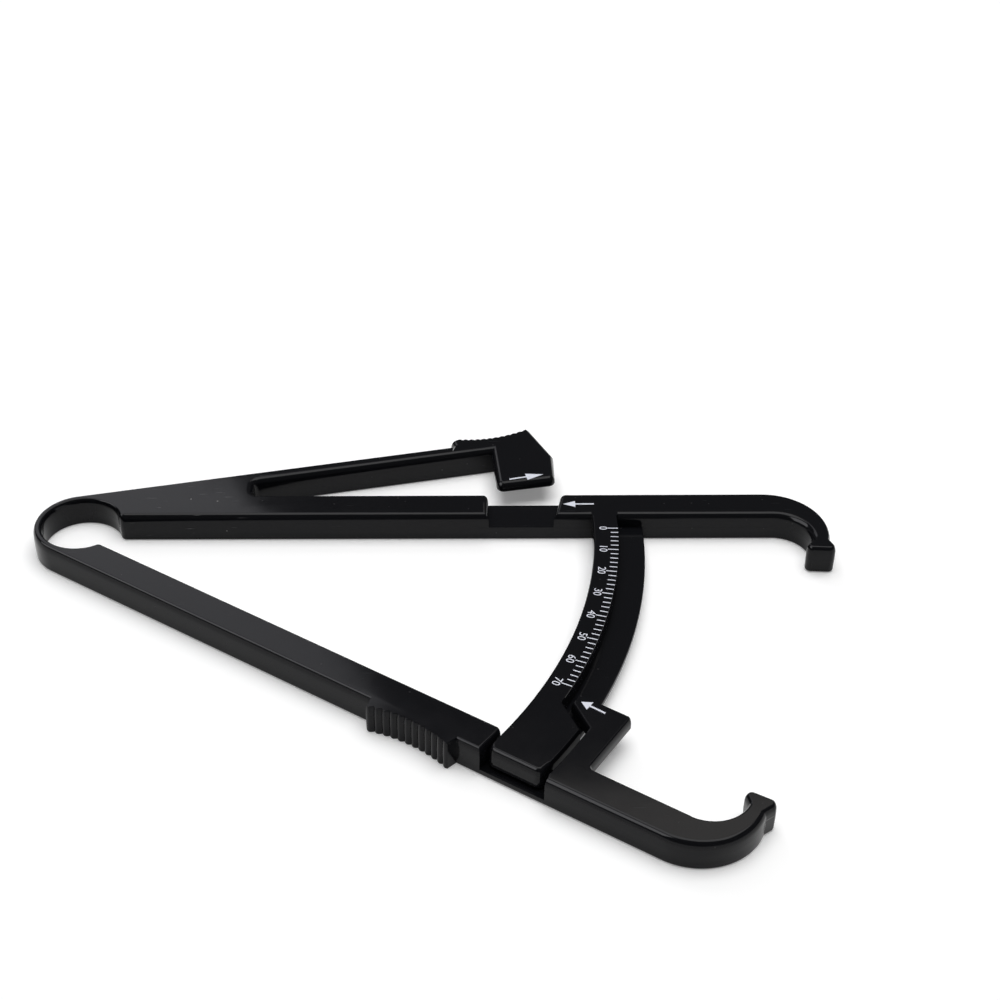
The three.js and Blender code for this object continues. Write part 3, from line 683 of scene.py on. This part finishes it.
def crossing(radius):
    # where the bevel's line meets a circle round the bow's centre
    ahead = bevel @ direction
    aside = bevel[0] * direction[1] - bevel[1] * direction[0]
    return bevel + direction * (beside(radius, aside) - ahead)


def pointerArc(radius, start, end):
    # an arc round the bow's centre, from one distance off the arm's axis to another
    return arc(0, 0, radius, angleAt(radius, start), angleAt(radius, end))


bevelStart, bevelEnd = crossing(pointer["inner"]), crossing(pointer["edge"])
plateRear = cross(pointer["inner"], pointer["rear"])
rearRight, frontRight = [[pointer["right"], y] for y in (pointer["rear"], arm["movingInner"])]
plateRun = np.concatenate([
    [cross(channel["outer"], arm["outer"])],
    pointerArc(pointer["edge"], channel["wallTo"], bevelEnd[1] + pointer["bevelGap"]),
    [bevelEnd, bevelStart],
    pointerArc(pointer["inner"], bevelStart[1] - pointer["bevelGap"], pointer["rear"] + pointer["rearGap"]),
    rounded(cross(pointer["inner"], pointer["rear"] + pointer["rearChord"]), plateRear, rearRight,
            pointer["smallCorner"]),
    rounded(plateRear, rearRight, [pointer["right"], 0], pointer["corner"]),
    rounded([pointer["right"], 0], frontRight, [jaw["reach"], arm["movingInner"]], pointer["smallCorner"]),
])
farTop = trace(*jawRun(arm["movingInner"], arm["movingFootTilt"], jaw["movingShares"], 0),
               (plateRun, pointer["topShare"], pointer["lowShare"]))
piece("movingJaw", [slab(turned(baseFar), low, channel["webTop"], lowRound, 0),
                    slab(turned(farMiddle), channel["webTop"], pointer["bottom"], 0, 0),
                    slab(turned(farTop), pointer["bottom"], high, pointer["lowRound"], jaw["movingRound"])],
      blackPlastic, "moving_arm", ["lower_jaw_arm", "lower_jaw_foot", "pointer_plate"])

print("printed marks")
# zero and perTen are degrees round the bow's centre; major, minor and outer are radii
ink = {"lift": 0.012, "sink": 0.05, "zero": -1.165, "perTen": 3.661, "last": 70, "minorStep": 2,
       "outer": 113.7, "major": 111.5, "minor": 112.1, "tickWidth": 0.25, "numeralRadius": 110.6,
       "numeralHeight": 1.65, "numeralDepth": 0.02, "shaft": 0.42}


def inkPlate(outline):
    # a thin plate that is sunk in the top face and stands a hair above it
    return slab(trace((outline, 0, 0)), high - ink["sink"], high + ink["lift"])


def tickAngle(value):
    # the scale is even in angle: back from zero by so many degrees for every ten
    return math.radians(ink["zero"] - ink["perTen"] * value / 10)


def tick(value):
    # a bar along the radius from the inner to the outer end of the tick
    a = tickAngle(value)
    out = np.array([math.cos(a), math.sin(a)])
    side = np.array([-math.sin(a), math.cos(a)]) * ink["tickWidth"] / 2
    inner, outer = out * (ink["major"] if value % 10 == 0 else ink["minor"]), out * ink["outer"]
    return inkPlate([inner - side, outer - side, outer + side, inner + side])


piece("scaleTicks", [tick(value) for value in range(0, ink["last"] + 1, ink["minorStep"])], whiteInk,
      "fixed_frame")


def numeral(value):
    # plain figures, made a mesh, scaled to their height and laid with their tops outward
    text = bpy.data.curves.new("figures", "FONT")
    text.body, text.size, text.extrude = str(value), 1.0, ink["numeralDepth"]
    holder = bpy.data.objects.new("figures", text)
    bpy.context.scene.collection.objects.link(holder)
    bpy.context.view_layer.update()
    mesh = bpy.data.meshes.new_from_object(holder.evaluated_get(bpy.context.evaluated_depsgraph_get()))
    bpy.data.objects.remove(holder)
    flat = np.empty(len(mesh.vertices) * 3)
    mesh.vertices.foreach_get("co", flat)
    flat = flat.reshape(-1, 3)
    middle = (flat.min(0) + flat.max(0)) / 2
    flat = (flat - middle) * ink["numeralHeight"] / (flat[:, 1].max() - flat[:, 1].min())
    a = tickAngle(value)
    radius = ink["numeralRadius"] + flat[:, 1]
    x = bowCentre[0] + radius * math.cos(a) + flat[:, 0] * math.sin(a)
    y = bowCentre[1] + radius * math.sin(a) - flat[:, 0] * math.cos(a)
    z = np.where(flat[:, 2] > 0, high + ink["lift"], high - ink["sink"])
    mesh.vertices.foreach_set("co", (np.stack([x, y, z], 1) * mm).ravel())
    mesh.materials.clear()
    mesh.materials.append(whiteInk)
    mesh.update()
    made = bpy.data.objects.new(f"numeral{value}", mesh)
    bpy.context.scene.collection.objects.link(made)
    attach(made, "fixed_frame")


for value in range(0, ink["last"] + 1, 10):
    numeral(value)

arrows = {
    "pressArrow": {"tip": (98.6, 17.0), "tail": (91.1, 15.2), "rides": "press_lever",
                   "headLength": 3.9, "headWidth": 2.3},
    "armArrow": {"tip": (102.4, 6.2), "tail": (109.1, 6.2), "rides": "fixed_frame",
                 "headLength": 2.65, "headWidth": 2.1},
    "pointerArrow": {"tip": onArm(116.5, -11.2), "tail": onArm(121.9, -11.0), "rides": "moving_arm",
                     "headLength": 2.0, "headWidth": 2.4},
}


def arrow(name, values):
    # a thin shaft and a flat triangular head, drawn from the tip back to the tail
    tip, tail = np.array(values["tip"], float), np.array(values["tail"], float)
    back = (tail - tip) / np.linalg.norm(tail - tip)
    side = np.array([-back[1], back[0]])
    neck = tip + back * values["headLength"]
    wide, thin = side * values["headWidth"] / 2, side * ink["shaft"] / 2
    outline = [tip, neck + wide, neck + thin, tail + thin, tail - thin, neck - thin, neck - wide]
    piece(name, [inkPlate(outline)], whiteInk, values["rides"])


for name, values in arrows.items():
    arrow(name, values)

print("floor, light and camera")
# in metres; lift is the paper's own light, radiance is a lamp's brightness per area, and a
# lamp that looks straighter down than plumb is squared up to the Y axis
studio = {"floor": 4.0, "floorColour": (0.9, 0.9, 0.9), "lift": 0.2, "world": 0.1, "plumb": 0.99}
lamps = {
    "overhead": {"place": (0.1, 0.1, 1.5), "target": (0, 0, 0), "size": (1.6, 1.3), "radiance": 3.3,
                 "spin": 0, "colour": (1, 1, 1), "lights": True},
    # the two panels behind stand upright, and their edges are what the top faces mirror
    "rearLeft": {"place": inFrame(-427, 1000, 1018), "target": inFrame(-427, 0, 1018), "size": (0.8, 1.2),
                 "radiance": 1.75, "spin": 23.3, "colour": (0.95, 0.95, 1), "lights": True},
    "rearHigh": {"place": inFrame(450, 1000, 1440), "target": inFrame(450, 0, 1440), "size": (0.65, 0.65),
                 "radiance": 1.7, "spin": 0, "colour": (1, 0.96, 0.92), "lights": True},
    # a side panel that only the gloss of the rims turned to the left mirrors
    "left": {"place": (-1.3, -0.35, 0.95), "target": (0, 0, 0), "size": (1.5, 1.2), "radiance": 5.2,
             "spin": 0, "colour": (0.97, 0.97, 1), "lights": False},
}
half = studio["floor"]
floorMesh = bpy.data.meshes.new("floor")
floorMesh.from_pydata([(-half, -half, 0), (half, -half, 0), (half, half, 0), (-half, half, 0)], [],
                      [(0, 1, 2, 3)])
floor = bpy.data.objects.new("floor", floorMesh)
bpy.context.scene.collection.objects.link(floor)


def floorMaterial():
    # pale matt paper; a little of its own light is seen directly and in gloss, and the
    # shadow of the object stays on it
    material = bpy.data.materials.new("palePaper")
    material.use_nodes = True
    tree = material.node_tree
    tree.nodes.remove(tree.nodes["Principled BSDF"])
    out = tree.nodes["Material Output"]
    paper = addNode(tree, "ShaderNodeBsdfDiffuse", {"Color": (*studio["floorColour"], 1)})
    glow = addNode(tree, "ShaderNodeEmission", {"Color": (1, 1, 1, 1)})
    rays = addNode(tree, "ShaderNodeLightPath")
    seen = addNode(tree, "ShaderNodeMath", operation="MAXIMUM")
    seenAll = addNode(tree, "ShaderNodeMath", operation="MAXIMUM")
    strength = addNode(tree, "ShaderNodeMath", {1: studio["lift"]}, operation="MULTIPLY")
    both = addNode(tree, "ShaderNodeAddShader")
    join(tree, (rays.outputs["Is Camera Ray"], seen.inputs[0]),
         (rays.outputs["Is Glossy Ray"], seen.inputs[1]),
         (seen.outputs[0], seenAll.inputs[0]), (rays.outputs["Is Transmission Ray"], seenAll.inputs[1]),
         (seenAll.outputs[0], strength.inputs[0]), (strength.outputs[0], glow.inputs["Strength"]),
         (paper.outputs[0], both.inputs[0]), (glow.outputs[0], both.inputs[1]),
         (both.outputs[0], out.inputs["Surface"]))
    return material


floorMesh.materials.append(floorMaterial())
world = bpy.data.worlds.new("studio")
bpy.context.scene.world = world
world.use_nodes = True
world.node_tree.nodes["Background"].inputs["Color"].default_value = (1, 1, 1, 1)
world.node_tree.nodes["Background"].inputs["Strength"].default_value = studio["world"]


def placed(name, data, columns, place):
    # links a lamp or camera whose own axes are the given columns
    made = bpy.data.objects.new(name, data)
    bpy.context.scene.collection.objects.link(made)
    turn = np.eye(4)
    turn[:3] = np.column_stack([*columns, place])
    made.matrix_world = Matrix(turn.tolist())
    return made


def softbox(name, values):
    # a rectangular lamp aimed at a point, whose surface has the given brightness, and which
    # is spun in its own plane
    size, place = values["size"], np.array(values["place"], float)
    lamp = bpy.data.lights.new(name, "AREA")
    lamp.shape, lamp.size, lamp.size_y = "RECTANGLE", size[0], size[1]
    lamp.energy = values["radiance"] * math.pi * size[0] * size[1]
    lamp.color = values["colour"]
    forward = np.array(values["target"], float) - place
    forward /= np.linalg.norm(forward)
    right = np.cross(forward, (0, 1, 0) if -forward[2] > studio["plumb"] else (0, 0, 1))
    right /= np.linalg.norm(right)
    up = np.cross(right, forward)
    a = math.radians(values["spin"])
    spun = (right * math.cos(a) + up * math.sin(a), up * math.cos(a) - right * math.sin(a), -forward)
    placed(name, lamp, spun, place).visible_diffuse = values["lights"]


for name, values in lamps.items():
    softbox(name, values)

# place in millimetres from the bow's centre, angles in degrees, lens and sensor in millimetres
view = {"place": (79.51, -315.48, 252.02), "heading": 1.660, "down": 37.2034, "roll": 0.8789,
        "lens": 67.65, "sensor": 36.0, "clip": 0.01}
heading, down, roll = (math.radians(view[key]) for key in ("heading", "down", "roll"))
forward = np.array([math.sin(heading) * math.cos(down), math.cos(heading) * math.cos(down), -math.sin(down)])
level = np.array([math.cos(heading), -math.sin(heading), 0])
rise = np.cross(level, forward)
cameraData = bpy.data.cameras.new("camera")
cameraData.lens, cameraData.sensor_width, cameraData.clip_start = view["lens"], view["sensor"], view["clip"]
cameraAxes = (level * math.cos(roll) + rise * math.sin(roll), rise * math.cos(roll) - level * math.sin(roll),
              -forward)
bpy.context.scene.camera = placed("camera", cameraData, cameraAxes, inFrame(*view["place"]))
bpy.context.scene.view_settings.view_transform = "Standard"
